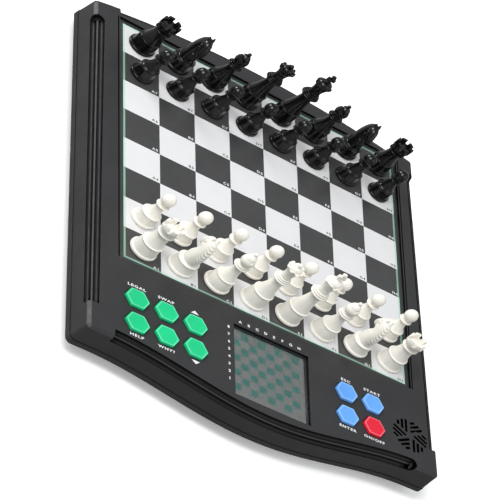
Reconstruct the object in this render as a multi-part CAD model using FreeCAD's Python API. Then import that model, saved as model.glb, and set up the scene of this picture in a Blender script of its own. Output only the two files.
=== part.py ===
import FreeCAD, Part

import math
import os

# Electronic chess computer: a thin two-shell case with a recessed playing board, ten push buttons,
# a liquid-crystal screen, a speaker, a battery compartment and a full set of chessmen.
# Millimetres. +Z is up, +Y points to the back rank, and the origin is the centre of the table
# footprint, at the level of the rubber feet's undersides.

V = FreeCAD.Vector

# ---------------------------------------------------------------- driving dimensions
SQUARE = 28.0            # one square of the board
SQUARES = 8
BOARD_X = 1.6            # board centre, a little right of the case's centre
BOARD_Y = 35.0           # board centre, behind the case's centre
BOARD_DEPTH = 1.7        # board surface below the case's top
RECESS = 231.0           # side of the square recess that holds the board

CASE_HALF_W = 133.0      # half width of the flat top, halfway along the case
SIDE_TAPER = 0.014       # the sides close in by this much per millimetre toward the back
FRONT_Y = -152.3         # front edge of the flat top, at the corners
BACK_Y = 155.0           # back edge of the flat top, at the corners
FRONT_BOW = 18.0         # how far the front bulges at its middle
FRONT_BOW_HALF = 126.0   # half the width of the front bulge; it runs out level
BACK_BOW = 14.0          # the back is one shallow arc from corner to corner
BACK_BOW_HALF = 130.0
BOW_SPANS = 36
CORNER_R = 1.6
TOP_Z = 28.0
CHAMFER = 1.9            # bevel round the flat top
FLANK_DROP = 15.0        # flat top down to the parting line
FLANK_RUN = 2.6          # how far the parting line stands outside the flat top
SKIN = 2.2               # general wall thickness
REVEAL = 0.6             # shadow gap between the shells
BAND = 3.4               # upright band of the lower shell
FOOT_H = 1.5             # feet below the lower shell
UNDERCUT = 12.0          # how far the bottom is set in from the top edge

GROOVE_IN = 5.3          # double cove along each top edge: reach over the top
GROOVE_DOWN = 4.8        # and down the flank
RIB = 1.1                # thin rib between the coves
GROOVE_FRONT_STOP = 21.4 # where the side grooves end, measured from the front corners
GROOVE_BACK_STOP = 13.5  # and from the back corners
GROOVE_END_STOP = 17.0   # where the front and back grooves end, measured from the sides

BUTTON_R = 9.0           # hexagon, centre to corner
BUTTON_RISE = 1.5
BUTTON_GAP = 0.4
BUTTON_PITCH_X = 21.8
BUTTON_PITCH_Y = 21.4
BUTTON_Y = -123.2        # middle of the two rows
LEFT_KEYS_X = -80.4      # middle column of the left group
RIGHT_KEYS_X = 71.6      # middle of the right group

LCD_X = 0.9
LCD_Y = -126.3
LCD_OPEN = (59.2, 63.4)
SPEAKER = (113.4, -126.5)
SPEAKER_R = 13.0
GRILLE_R = 14.0
GRILLE_START = 3.3
GRILLE_PITCH = 3.9
GRILLE_SLOT = 2.1

PANEL_T = 1.0
MEMBRANE_T = 0.6
PCB_TOP = 17.6
PCB_T = 1.6
DOME_TOP = 21.2

CELL_R = 7.25            # AA cell
CELL_L = 50.5
CELL_PITCH = 15.2
BATTERY_Y = 40.0
BATTERY_ROOM = (58.5, 46.4, 15.4)
DOOR = (66.0, 53.0, 2.0)
DOOR_PIN_R = 0.8
DOOR_PIN_GAP = 0.08

SCREWS = [(side * x, y) for x, y in ((108, 138), (108, 0), (114, -84), (42, -148.5)) for side in (-1, 1)]
FEET = [(side * 98, y) for y in (-112, 116) for side in (-1, 1)]
SCREW_SEAT = 8.0         # screw heads bear up against this height
POST_TOP = 12.0          # screw posts of the lower shell meet the upper shell's bosses here
POST_R = 4.6
BOSS_R = 3.4

BOARD_Z = TOP_Z - BOARD_DEPTH
PART_Z = TOP_Z - FLANK_DROP
SHELL_Z = FOOT_H
TRAY_TOP = BOARD_Z - PANEL_T - MEMBRANE_T
TRAY_BOTTOM = TRAY_TOP - 2.0
HINGE_Y = BATTERY_Y - DOOR[1] / 2 + 1.4
HINGE_Z = SHELL_Z + DOOR[2] / 2
UP = V(0, 0, 1)


# ---------------------------------------------------------------- general helpers
def box(cx, cy, sx, sy, z0, z1):
    """Box centred on cx, cy."""
    return Part.makeBox(sx, sy, z1 - z0, V(cx - sx / 2, cy - sy / 2, z0))


def rounded_box(cx, cy, sx, sy, z0, z1, r):
    """Box with rounded upright corners."""
    solid = box(cx, cy, sx, sy, z0, z1)
    upright = [e for e in solid.Edges if abs(e.tangentAt(e.FirstParameter).z) > 0.9]
    return solid.makeFillet(r, upright)


def cyl(x, y, r, z0, z1):
    return Part.makeCylinder(r, z1 - z0, V(x, y, z0))


def hexagon(cx, cy, r, z):
    """Regular hexagon with two corners on the X axis."""
    turns = [math.radians(60 * i) for i in range(7)]
    return Part.makePolygon([V(cx + r * math.cos(a), cy + r * math.sin(a), z) for a in turns])


def hex_prism(cx, cy, r, z0, z1):
    return Part.Face(hexagon(cx, cy, r, z0)).extrude(V(0, 0, z1 - z0))


def turned(steps, x=0.0, y=0.0, z=0.0):
    """Solid of revolution. Each step is (r, z) for a straight line to that point, or
    (rm, zm, r, z) for an arc through the first point. The first and last steps are on the axis."""
    edges = []
    here = V(steps[0][0], 0, steps[0][1])
    for step in steps[1:]:
        there = V(step[-2], 0, step[-1])
        if len(step) == 4:
            edges.append(Part.Arc(here, V(step[0], 0, step[1]), there).toShape())
        else:
            edges.append(Part.makeLine(here, there))
        here = there
    edges.append(Part.makeLine(here, V(steps[0][0], 0, steps[0][1])))
    solid = Part.Face(Part.Wire(edges)).revolve(V(0, 0, 0), UP, 360)
    solid.translate(V(x, y, z))
    return solid


def pipe(points, r):
    """Round wire bent smoothly through the points."""
    curve = Part.BSplineCurve()
    curve.interpolate([V(*p) for p in points])
    path = Part.Wire(curve.toShape())
    start = curve.value(curve.FirstParameter)
    ring = Part.Wire(Part.makeCircle(r, start, curve.tangent(curve.FirstParameter)[0]))
    return path.makePipeShell([ring], True, False)


def fuse(first, others):
    return first.multiFuse(others).removeSplitter()


# ---------------------------------------------------------------- case outline
def bow(x, side):
    """How far the front (side -1) or back (side +1) edge bulges at x, and how fast that changes with x."""
    half = FRONT_BOW_HALF if side < 0 else BACK_BOW_HALF
    if abs(x) >= half:
        return 0.0, 0.0
    if side < 0:
        bulge = FRONT_BOW * math.cos(math.pi * x / (2 * half)) ** 2
        return bulge, -FRONT_BOW * math.pi / (2 * half) * math.sin(math.pi * x / half)
    return BACK_BOW * (1 - (x / half) ** 2), -2 * BACK_BOW * x / half ** 2


def end_point(x, side, grow, z):
    """Point of the front or back edge, moved outward by grow, with the outward normal."""
    bulge, slope = bow(x, side)
    normal = V(-slope, side, 0)
    normal.normalize()
    line = FRONT_Y if side < 0 else BACK_Y
    return V(x, line + side * bulge, z) + normal * grow, normal


def end_curve(side, grow, z, reach, level_ends):
    """Spline of an end edge from -reach to reach."""
    points = [end_point(-reach + 2 * reach * i / BOW_SPANS, side, grow, z)[0] for i in range(BOW_SPANS + 1)]
    if level_ends:
        line = (FRONT_Y if side < 0 else BACK_Y) + side * grow
        points[0] = V(-reach, line, z)
        points[-1] = V(reach, line, z)
    curve = Part.BSplineCurve()
    curve.interpolate(points)
    return curve


def side_x(y, grow):
    """Half width of the case at y, moved outward by grow."""
    return CASE_HALF_W - SIDE_TAPER * y + grow


def outline(grow, z):
    """Closed outline of the case at height z, moved outward from the flat top by grow."""
    r = max(CORNER_R + grow, 0.8)
    k = r * (1 - math.sqrt(0.5))
    front, back = FRONT_Y - grow, BACK_Y + grow
    front_w, back_w = side_x(front, grow), side_x(back, grow)
    front_turn, back_turn = side_x(front + r, grow), side_x(back - r, grow)
    front_edge = end_curve(-1, grow, z, front_w - r, True)
    back_edge = end_curve(1, grow, z, back_w - r, True)
    edges = [front_edge.toShape(), back_edge.toShape()]
    for side in (-1, 1):
        edges.append(Part.Arc(V(side * (front_w - r), front, z), V(side * (front_w - k), front + k, z),
                              V(side * front_turn, front + r, z)).toShape())
        edges.append(Part.makeLine(V(side * front_turn, front + r, z), V(side * back_turn, back - r, z)))
        edges.append(Part.Arc(V(side * back_turn, back - r, z), V(side * (back_w - k), back - k, z),
                              V(side * (back_w - r), back, z)).toShape())
    return Part.Wire(Part.__sortEdges__(edges))


def lofted(sections):
    """Solid through outlines given as (grow, z)."""
    return Part.makeLoft([outline(grow, z) for grow, z in sections], True, True)


# ---------------------------------------------------------------- double-cove grooves
FLANK_SLOPE = (FLANK_RUN - CHAMFER) / (FLANK_DROP - CHAMFER)
GROOVE_OUT = CHAMFER + FLANK_SLOPE * (GROOVE_DOWN - CHAMFER)    # the groove's lower edge on the flank
GROOVE_TILT = math.atan2(GROOVE_DOWN, GROOVE_IN + GROOVE_OUT)
GROOVE_HALF = math.hypot(GROOVE_DOWN, GROOVE_IN + GROOVE_OUT) / 2
RIB_SHIFT = (GROOVE_OUT - GROOVE_IN) / 2                        # the rib is halfway across the groove
RIB_Z = TOP_Z - GROOVE_DOWN / 2 - 0.02                          # a hair low, so no edges coincide
COVE_R = (GROOVE_HALF - RIB / 2) / 2


def groove_profile(point, outward, half_only):
    """Face across the groove, at a point of its rib line. Its lower edge is two round coves with the
    rib between them, or one cove and half the rib."""
    across = outward * math.cos(GROOVE_TILT) - UP * math.sin(GROOVE_TILT)
    proud = outward * math.sin(GROOVE_TILT) + UP * math.cos(GROOVE_TILT)
    above = 8.0

    def at(s, n):
        return point + across * s + proud * n

    half = GROOVE_HALF
    edges = [
        Part.makeLine(at(0, 0), at(RIB / 2, 0)),
        Part.Arc(at(RIB / 2, 0), at(RIB / 2 + COVE_R, -COVE_R), at(half, 0)).toShape(),
        Part.makeLine(at(half, 0), at(half, above)),
    ]
    if half_only:
        edges += [Part.makeLine(at(half, above), at(0, above)), Part.makeLine(at(0, above), at(0, 0))]
    else:
        edges += [
            Part.makeLine(at(half, above), at(-half, above)),
            Part.makeLine(at(-half, above), at(-half, 0)),
            Part.Arc(at(-half, 0), at(-RIB / 2 - COVE_R, -COVE_R), at(-RIB / 2, 0)).toShape(),
            Part.makeLine(at(-RIB / 2, 0), at(0, 0)),
        ]
    return Part.Face(Part.Wire(edges)), proud


def groove_end(point, outward, turn):
    """Rounded end of a groove, about the end of its rib."""
    face, proud = groove_profile(point, outward, True)
    return face.revolve(point, proud, turn)


def side_groove(side):
    """Straight groove along the left (side -1) or right (side +1) top edge: cut square at the front,
    rounded at the back."""
    y0 = FRONT_Y + GROOVE_FRONT_STOP
    y1 = BACK_Y - GROOVE_BACK_STOP - GROOVE_HALF
    start = V(side * side_x(y0, RIB_SHIFT), y0, RIB_Z)
    finish = V(side * side_x(y1, RIB_SHIFT), y1, RIB_Z)
    run = finish - start
    outward = V(side * run.y, -side * run.x, 0)
    outward.normalize()
    channel = groove_profile(start, outward, False)[0].extrude(run)
    return fuse(channel, [groove_end(finish, outward, 180 * side)])


def end_groove(side):
    """Groove that follows the bowed front (side -1) or back (side +1) top edge. Its ends are cut square,
    but for the front groove's right end, which is rounded."""
    line = FRONT_Y if side < 0 else BACK_Y
    left = -side_x(line, -GROOVE_END_STOP)
    right = side_x(line, -GROOVE_END_STOP - (GROOVE_HALF if side < 0 else 0.0))
    step = (right - left) / BOW_SPANS
    spans = [end_point(left + step * i, side, RIB_SHIFT, RIB_Z) for i in range(BOW_SPANS + 1)]
    curve = Part.BSplineCurve()
    curve.interpolate([point for point, normal in spans])
    start, start_out = spans[0]
    finish, finish_out = spans[-1]
    sweep = Part.BRepOffsetAPI.MakePipeShell(Part.Wire(curve.toShape()))
    sweep.setBiNormalMode(UP)
    sweep.add(groove_profile(start, start_out, False)[0].OuterWire)
    sweep.build()
    sweep.makeSolid()
    pieces = [Part.Solid(sweep.shape())]
    if side < 0:
        pieces.append(groove_end(finish, finish_out, 180))
    return pieces


# ---------------------------------------------------------------- positions on the control panel
def key_places():
    """Button node name -> (x, y)."""
    rows = (BUTTON_Y + BUTTON_PITCH_Y / 2, BUTTON_Y - BUTTON_PITCH_Y / 2)
    names = (("legal", "swap", "up"), ("help", "why", "down"), ("escape", "start"), ("enter", "power"))
    places = {}
    for row in range(2):
        for col in range(3):
            places[names[row][col] + "_button"] = (LEFT_KEYS_X + (col - 1) * BUTTON_PITCH_X, rows[row])
        for col in range(2):
            places[names[row + 2][col] + "_button"] = (RIGHT_KEYS_X + (col - 0.5) * BUTTON_PITCH_X, rows[row])
    return places


def grille_slots():
    """Six sectors of parallel slots, each sector starting on one ray and running along the next."""
    slots = []
    x0, y0 = SPEAKER
    for sector in range(6):
        ray = math.radians(30 + 60 * sector)
        run = ray - math.radians(60)
        for k in range(3):
            d = GRILLE_START + GRILLE_PITCH * k
            length = math.sqrt(GRILLE_R ** 2 - 0.75 * d ** 2) - d / 2
            slot = Part.makeBox(length - 0.4, GRILLE_SLOT, 4 * SKIN, V(0.7, -GRILLE_SLOT / 2, 0))
            slot.rotate(V(0, 0, 0), UP, math.degrees(run))
            slot.translate(V(x0 + d * math.cos(ray), y0 + d * math.sin(ray), TOP_Z - 3 * SKIN))
            slots.append(slot)
    return slots


# ---------------------------------------------------------------- shells
def upper_case():
    outer = lofted([(FLANK_RUN, PART_Z), (CHAMFER, TOP_Z - CHAMFER), (0.0, TOP_Z)])
    inner_steps = [(0.2, FLANK_DROP + 1.0), (0.2, 9.6), (-1.4, 7.2), (-5.6, 4.6), (-8.2, SKIN)]
    cavity = lofted([(grow, TOP_Z - depth) for grow, depth in inner_steps])
    tray_side = RECESS + 2 * 2.0
    tray = box(BOARD_X, BOARD_Y, tray_side, tray_side, TRAY_BOTTOM, TOP_Z)
    cavity = cavity.cut(tray)
    bosses = [cyl(x, y, BOSS_R, POST_TOP, TOP_Z - 1.0) for x, y in SCREWS]
    shell = outer.cut(cavity)
    shell = fuse(shell, bosses)

    cuts = [box(BOARD_X, BOARD_Y, RECESS, RECESS, TRAY_TOP, TOP_Z + 1)]
    cuts.append(box(BOARD_X, BOARD_Y - RECESS / 2 + 4, 26.4, 3.0, TRAY_BOTTOM - 1, TRAY_TOP + 1))
    cuts.append(box(LCD_X, LCD_Y, LCD_OPEN[0], LCD_OPEN[1], TOP_Z - 2 * SKIN, TOP_Z + 1))
    for x, y in key_places().values():
        cuts.append(hex_prism(x, y, BUTTON_R + BUTTON_GAP, TOP_Z - 2 * SKIN, TOP_Z + 1))
    cuts += grille_slots()
    cuts += [cyl(x, y, 1.5, POST_TOP - 1, TRAY_BOTTOM - 0.4) for x, y in SCREWS]
    cuts += [side_groove(-1), side_groove(1)]
    for side in (-1, 1):
        cuts += end_groove(side)
    for cutter in cuts:
        shell = shell.cut(cutter)
    return shell


def lower_case():
    rim = PART_Z - REVEAL
    knee = rim - BAND
    lip_top = PART_Z + 2.3
    proud = FLANK_RUN + 0.4
    body = lofted([(-UNDERCUT, SHELL_Z), (proud - 0.9, knee - 0.8), (proud, knee), (proud, rim)])
    lip = lofted([(0.1, rim - 1.0), (0.1, lip_top)])
    hollow = lofted([(-UNDERCUT + 0.4, SHELL_Z + SKIN), (-1.1, knee - 0.6), (-1.1, lip_top + 1)])
    shell = fuse(body, [lip]).cut(hollow)

    room_x, room_y, room_z = BATTERY_ROOM
    floor_top = SHELL_Z + DOOR[2] + 0.1
    pad = box(0, BATTERY_Y, DOOR[0] + 8, DOOR[1] + 8, SHELL_Z, floor_top + 1.7)
    walls = box(0, BATTERY_Y, room_x + 3.2, room_y + 3.2, SHELL_Z, floor_top + room_z + 1.6)
    posts = [cyl(x, y, POST_R, SHELL_Z, POST_TOP) for x, y in SCREWS]
    rests = [cyl(x, y, 2.5, SHELL_Z, PCB_TOP - PCB_T) for x in (-90, -20, 60) for y in (-139, -98)]
    shell = fuse(shell, [pad, walls] + posts + rests)

    cuts = [
        box(0, BATTERY_Y, room_x, room_y, SHELL_Z - 1, floor_top + room_z),
        box(0, BATTERY_Y, DOOR[0] + 0.4, DOOR[1] + 0.4, SHELL_Z - 1, floor_top),
    ]
    cuts.append(box(0, HINGE_Y, DOOR[0] + 0.4, 3.7, SHELL_Z - 1, HINGE_Z + 1.9))
    cuts += door_pins(DOOR_PIN_R + DOOR_PIN_GAP, 1.8)
    cuts.append(box(0, BATTERY_Y + DOOR[1] / 2 + 1.5, 12.0, 5.0, SHELL_Z - 1, SHELL_Z + 0.9))
    cuts += [cyl(x, y, 1.6, SHELL_Z - 1, POST_TOP + 1) for x, y in SCREWS]
    cuts += [cyl(x, y, 3.2, SHELL_Z - 1, SCREW_SEAT) for x, y in SCREWS]
    cuts += [cyl(x, y, 7.1, SHELL_Z - 1, SHELL_Z + 0.5) for x, y in FEET]
    cuts.append(box(room_x / 2 + 1, BATTERY_Y - room_y / 2 + 2, 4, 2.4, floor_top + 4, floor_top + 7))
    for cutter in cuts:
        shell = shell.cut(cutter)
    return shell


def door_pins(r, reach):
    """Pivot pins (or their holes) at both ends of the door's front edge."""
    pins = []
    for side in (-1, 1):
        start = V(side * (DOOR[0] / 2 - 2.0), HINGE_Y, HINGE_Z)
        pins.append(Part.makeCylinder(r, reach + 2.0, start, V(side, 0, 0)))
    return pins


def battery_door():
    """Plate with pivot pins at its front edge, finger ridges and a spring tongue at its back edge."""
    plate = box(0, BATTERY_Y, DOOR[0], DOOR[1], SHELL_Z, SHELL_Z + DOOR[2])
    back = BATTERY_Y + DOOR[1] / 2
    for x in (-6.6, 6.6):
        plate = plate.cut(box(x, back - 3, 0.8, 8, SHELL_Z - 1, SHELL_Z + DOOR[2] + 1))
    plate = plate.cut(box(0, back, 12.4, 3.0, SHELL_Z - 1, SHELL_Z + 0.8))
    for k in range(4):
        plate = plate.cut(box(0, BATTERY_Y + 4 - 3 * k, 22, 1.2, SHELL_Z - 1, SHELL_Z + 0.5))
    return fuse(plate, door_pins(DOOR_PIN_R, 1.5))


# ---------------------------------------------------------------- board and electronics
def board_panel():
    side = RECESS - 0.2
    return box(BOARD_X, BOARD_Y, side, side, BOARD_Z - PANEL_T, BOARD_Z)


def sensor_membrane():
    """Contact sheet under the panel, with its tail folded down to the main board."""
    side = RECESS - 1.0
    sheet = box(BOARD_X, BOARD_Y, side, side, TRAY_TOP, TRAY_TOP + MEMBRANE_T)
    slot_y = BOARD_Y - RECESS / 2 + 4
    tail_end = -94.0
    drop = box(BOARD_X, slot_y, 24, 0.4, PCB_TOP, TRAY_TOP + 0.1)
    run = box(BOARD_X, (slot_y + tail_end) / 2, 24, slot_y - tail_end + 0.4, PCB_TOP, PCB_TOP + 0.3)
    return fuse(sheet, [drop, run])


def main_board():
    x0, x1, y0, y1 = -114.0, 94.0, -143.5, -90.5
    plate = Part.makeBox(x1 - x0, y1 - y0, PCB_T, V(x0, y0, PCB_TOP - PCB_T))
    under = PCB_TOP - PCB_T
    processor = box(-20, -118, 14, 14, under - 1.6, under)
    driver = box(20, -112, 10, 16, under - 1.6, under)
    crystal = rounded_box(0, -132, 11, 4.6, under - 3.4, under, 2.0)
    socket = box(BOARD_X, -92.6, 28, 3.0, PCB_TOP + 0.3, PCB_TOP + 2.4)
    return Part.makeCompound([plate, processor, driver, crystal, socket])


def lcd_window():
    return box(LCD_X, LCD_Y, LCD_OPEN[0] - 3.2, LCD_OPEN[1] - 3.2, TOP_Z - 4.0, TOP_Z - 2.6)


def lcd_bezel():
    """Frame with a thin rim inside the opening and a flange under the case's skin."""
    rim = box(LCD_X, LCD_Y, LCD_OPEN[0] - 0.2, LCD_OPEN[1] - 0.2, TOP_Z - 4.0, TOP_Z - 1.5)
    flange = box(LCD_X, LCD_Y + 0.5, LCD_OPEN[0] + 2.6, LCD_OPEN[1] + 1.2, TOP_Z - 4.0, TOP_Z - SKIN)
    frame = fuse(rim, [flange])
    return frame.cut(box(LCD_X, LCD_Y, LCD_OPEN[0] - 3.0, LCD_OPEN[1] - 3.0, TOP_Z - 5, TOP_Z))


def lcd_module():
    """Glass sandwich in a holder that stands on the main board on four legs."""
    top = TOP_Z - 4.0
    glass = box(LCD_X, LCD_Y, 56.0, 60.2, top - 2.2, top)
    holder = box(LCD_X, LCD_Y, 60.0, 63.4, top - 3.8, top - 0.6)
    holder = holder.cut(box(LCD_X, LCD_Y, 56.0, 60.2, top - 2.2, top + 1))
    legs = [box(x, y, 4, 4, PCB_TOP, top - 3.5) for x in (-24, 24) for y in (-140, -104)]
    return Part.makeCompound([glass, fuse(holder, legs)])


def lcd_ribbon():
    """Flat flexible strip from the screen's back edge down to the main board."""
    t = 0.3
    top = TOP_Z - 4.0 - 2.6
    back = LCD_Y + 31.7
    strip = box(-20, back + 0.9, 14, 1.8, top - t, top)
    drop = box(-20, back + 1.65, 14, t, PCB_TOP, top)
    return fuse(strip, [drop])


def keypad(columns, x_mid):
    """Silicone mat with one hollow dome under each button."""
    width = (columns - 1) * BUTTON_PITCH_X + 21.0
    base_top = PCB_TOP + 1.2
    mat = box(x_mid, BUTTON_Y, width, BUTTON_PITCH_Y + 19.0, PCB_TOP, base_top)
    domes, hollows = [], []
    for x, y in key_places().values():
        if abs(x - x_mid) > width / 2:
            continue
        domes.append(Part.makeCone(6.0, 3.6, DOME_TOP - base_top, V(x, y, base_top)))
        hollows.append(Part.makeCone(5.0, 2.8, DOME_TOP - PCB_TOP - 1.2, V(x, y, PCB_TOP)))
    mat = fuse(mat, domes)
    for hollow in hollows:
        mat = mat.cut(hollow)
    return mat


def button(x, y):
    """Hexagonal cap with a bevelled top, a retaining flange and a stem."""
    flange_top = TOP_Z - SKIN - 0.1
    shoulder = TOP_Z + BUTTON_RISE - 0.8
    body = hex_prism(x, y, BUTTON_R, flange_top - 0.2, shoulder)
    rim, table = hexagon(x, y, BUTTON_R, shoulder), hexagon(x, y, BUTTON_R - 0.95, TOP_Z + BUTTON_RISE)
    crown = Part.makeLoft([rim, table], True)
    flange = hex_prism(x, y, BUTTON_R + 1.2, flange_top - 1.2, flange_top)
    stem = cyl(x, y, 3.0, DOME_TOP, flange_top)
    return fuse(body, [crown, flange, stem])


def speaker():
    x, y = SPEAKER
    rim_top = TOP_Z - SKIN
    r = SPEAKER_R
    basket = [(0, 14.5), (8.0, 14.5), (8.0, 18.6), (10.4, 18.6), (r - 0.8, rim_top - 1.6), (r, rim_top - 1.6)]
    cone = [(r, rim_top), (r - 1.4, rim_top), (r - 2.2, rim_top - 0.9), (r - 3.4, rim_top - 0.5),
            (4.0, rim_top - 3.4), (2.0, rim_top - 2.6), (0, rim_top - 2.4)]
    return turned(basket + cone, x, y)


# ---------------------------------------------------------------- power
def cell_rows():
    """(y, direction of the positive end) for each cell."""
    return [(BATTERY_Y + (k - 1) * CELL_PITCH, 1 if k % 2 == 0 else -1) for k in range(3)]


def batteries():
    cells = []
    z = SHELL_Z + DOOR[2] + 0.4 + CELL_R
    tip = BATTERY_ROOM[0] / 2 - 0.45
    for y, sign in cell_rows():
        r, length = CELL_R, CELL_L
        can = [(0, 0.0), (r - 0.8, 0.0), (r - 0.2, 0.2, r, 0.8), (r, length - 2.4),
               (r - 0.2, length - 1.8, r - 0.9, length - 1.5)]
        nub = [(2.75, length - 1.5), (2.75, length - 0.3), (2.4, length), (0, length)]
        cell = turned(can + nub)
        cell.rotate(V(0, 0, 0), V(0, 1, 0), 90 * sign)
        cell.translate(V(sign * (tip - length), y, z))
        cells.append(cell)
    return Part.makeCompound(cells)


def battery_contacts():
    """Flat plates at both ends of each cell and coil springs at the negative ends."""
    contacts = []
    wall = BATTERY_ROOM[0] / 2
    z = SHELL_Z + DOOR[2] + 0.4 + CELL_R
    for y, sign in cell_rows():
        for end in (-1, 1):
            contacts.append(Part.makeBox(0.4, 10, 10, V(end * (wall - 0.2) - 0.2, y - 5, z - 5)))
        gap = 2 * wall - 0.9 - CELL_L
        wire, coils = 0.4, 3.5
        pitch = (gap - 2 * wire - 0.3) / coils
        helix = Part.makeHelix(pitch, pitch * coils, 3.4)
        ring = Part.Wire(Part.makeCircle(wire, V(3.4, 0, 0), V(0, 1, 0)))
        spring = Part.Wire(helix.Edges).makePipeShell([ring], True, True)
        spring.translate(V(0, 0, wire + 0.1))
        spring.rotate(V(0, 0, 0), V(0, 1, 0), 90 * sign)
        spring.translate(V(-sign * (wall - 0.4), y, z))
        contacts.append(spring)
    return Part.makeCompound(contacts)


def internal_wires():
    """Speaker pair and battery pair, each ending at the main board's underside."""
    board_under = PCB_TOP - PCB_T
    x0, y0 = SPEAKER[0] - 8.2, SPEAKER[1] + 4.7
    wires = []
    for shift in (0.0, 2.0):
        y = y0 + shift
        wires.append(pipe([(x0, y, 17.4), (x0 - 5, y + 6, 13), (x0 - 13, y + 13, 10), (x0 - 22, y + 16, 12),
                           (x0 - 24, y + 16, board_under - 0.6)], 0.6))
        wires.append(pipe([(32.5, BATTERY_Y - 22 + shift, 9), (40 + shift, BATTERY_Y - 30 + shift, 8),
                           (44 + shift, -40, 7), (36 + shift, -90, 9),
                           (34 + shift, -104, board_under - 0.6)], 0.6))
    return Part.makeCompound(wires)


# ---------------------------------------------------------------- fasteners and feet
def case_screws():
    """Pan-head screws from below, into the upper shell's bosses."""
    screws = []
    for x, y in SCREWS:
        low, tip = SCREW_SEAT - 2.2, TRAY_BOTTOM - 0.8
        head = [(0, low), (1.6, low), (2.6, low + 0.3, 2.9, low + 1.4), (2.9, SCREW_SEAT)]
        shank = [(1.4, SCREW_SEAT), (1.4, tip - 0.6), (0.2, tip), (0, tip)]
        screw = turned(head + shank, x, y)
        for turn in (0, 90):
            slot = Part.makeBox(3.2, 0.8, 1.2, V(-1.6, -0.4, SCREW_SEAT - 2.3))
            slot.rotate(V(0, 0, 0), UP, turn)
            slot.translate(V(x, y, 0))
            screw = screw.cut(slot)
        screws.append(screw)
    return Part.makeCompound(screws)


def rubber_feet():
    top = SHELL_Z + 0.5
    steps = [(0, 0), (6.2, 0), (6.8, 0.2, 7.0, 0.8), (7.0, top), (0, top)]
    return Part.makeCompound([turned(steps, x, y) for x, y in FEET])


# ---------------------------------------------------------------- chessmen
def base_steps(r, bell_r, bell_z):
    """Foot shared by every chessman: a rounded rim, a bell and a fine ring."""
    return [(0, 0), (r - 0.7, 0), (r - 0.05, 0.3, r, 1.2), (r - 0.1, 2.1, r - 0.9, 2.3), (r - 1.1, 2.7),
            (r - 1.5, bell_z * 0.6, bell_r, bell_z), (bell_r + 0.5, bell_z + 0.2),
            (bell_r + 0.8, bell_z + 0.65, bell_r + 0.4, bell_z + 1.1), (bell_r - 0.3, bell_z + 1.3)]


def ball(r, z, neck):
    """Profile steps of a ball centred at height z on a neck of the given radius, up to its top."""
    return [(neck, z - math.sqrt(r * r - neck * neck)), (r, z, 0, z + r)]


def pawn():
    steps = base_steps(8.7, 5.6, 8.4) + [(3.3, 13.0, 2.7, 18.0), (5.0, 18.4), (5.3, 18.9, 4.9, 19.4)]
    return turned(steps + ball(4.8, 23.8, 3.0)), (8.7, 13.0)


def rook():
    steps = base_steps(9.7, 6.7, 9.6) + [(4.9, 15.0, 4.6, 20.6), (6.6, 21.2), (6.9, 21.7, 6.5, 22.2)]
    steps += [(5.6, 22.5), (5.7, 24.0, 6.9, 25.0), (7.1, 30.0), (5.2, 30.0), (5.0, 27.4), (0, 27.4)]
    body = turned(steps)
    for turn in (45, 135):
        gap = Part.makeBox(20, 3.4, 5, V(-10, -1.7, 27.8))
        gap.rotate(V(0, 0, 0), UP, turn)
        body = body.cut(gap)
    return body, (9.7, 17.0)


def bishop():
    steps = base_steps(9.7, 6.3, 9.8)
    steps += [(3.8, 16.0, 3.1, 23.0), (5.4, 23.5), (5.8, 24.1, 5.3, 24.6), (4.0, 24.9)]
    steps += [(4.3, 25.6, 3.3, 26.1), (4.9, 29.0, 3.9, 32.0), (2.9, 34.2, 1.0, 35.4)] + ball(1.5, 36.4, 0.9)
    body = turned(steps)
    slit = Part.makeBox(8, 20, 1.0, V(0.6, -10, 0))
    slit.rotate(V(0, 0, 0), V(0, 1, 0), -38)
    slit.translate(V(0.4, 0, 30.3))
    return body.cut(slit), (9.7, 17.0)


def queen():
    steps = base_steps(9.7, 6.6, 11.0)
    steps += [(4.2, 19.0, 3.6, 28.0), (6.2, 28.6), (6.6, 29.2, 6.1, 29.8), (4.4, 30.2)]
    steps += [(5.2, 30.9, 4.2, 31.6), (4.1, 31.9), (4.4, 36.5, 6.4, 40.6), (6.2, 41.4), (4.6, 40.9)]
    steps += [(3.8, 42.4, 1.3, 42.9)] + ball(1.7, 44.3, 1.0)
    body = turned(steps)
    for k in range(8):
        notch = Part.makeCylinder(1.15, 6, V(3.4, 0, 41.9), V(1, 0, 0))
        notch.rotate(V(0, 0, 0), UP, 45 * k)
        body = body.cut(notch)
    return body, (9.7, 22.0)


def king():
    steps = base_steps(9.7, 6.8, 11.6)
    steps += [(4.5, 20.0, 3.9, 30.4), (6.6, 31.0), (7.0, 31.7, 6.5, 32.4), (4.8, 32.8)]
    steps += [(5.6, 33.6, 4.6, 34.3), (4.4, 34.6), (4.7, 39.5, 6.4, 43.8), (6.5, 44.6, 6.0, 45.0)]
    steps += [(4.4, 46.6, 1.7, 47.2), (1.5, 47.8), (0, 47.8)]
    body = turned(steps)
    outline_points = [(1.1, 47.0), (0.9, 49.4), (3.0, 49.0), (3.0, 51.8), (1.0, 51.4), (1.5, 54.3)]
    corners = [V(x, -1.2, z) for x, z in outline_points]
    corners += [V(-x, -1.2, z) for x, z in reversed(outline_points)]
    cross = Part.Face(Part.makePolygon(corners + [corners[0]])).extrude(V(0, 2.4, 0))
    return fuse(body, [cross]), (9.7, 24.0)


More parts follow.
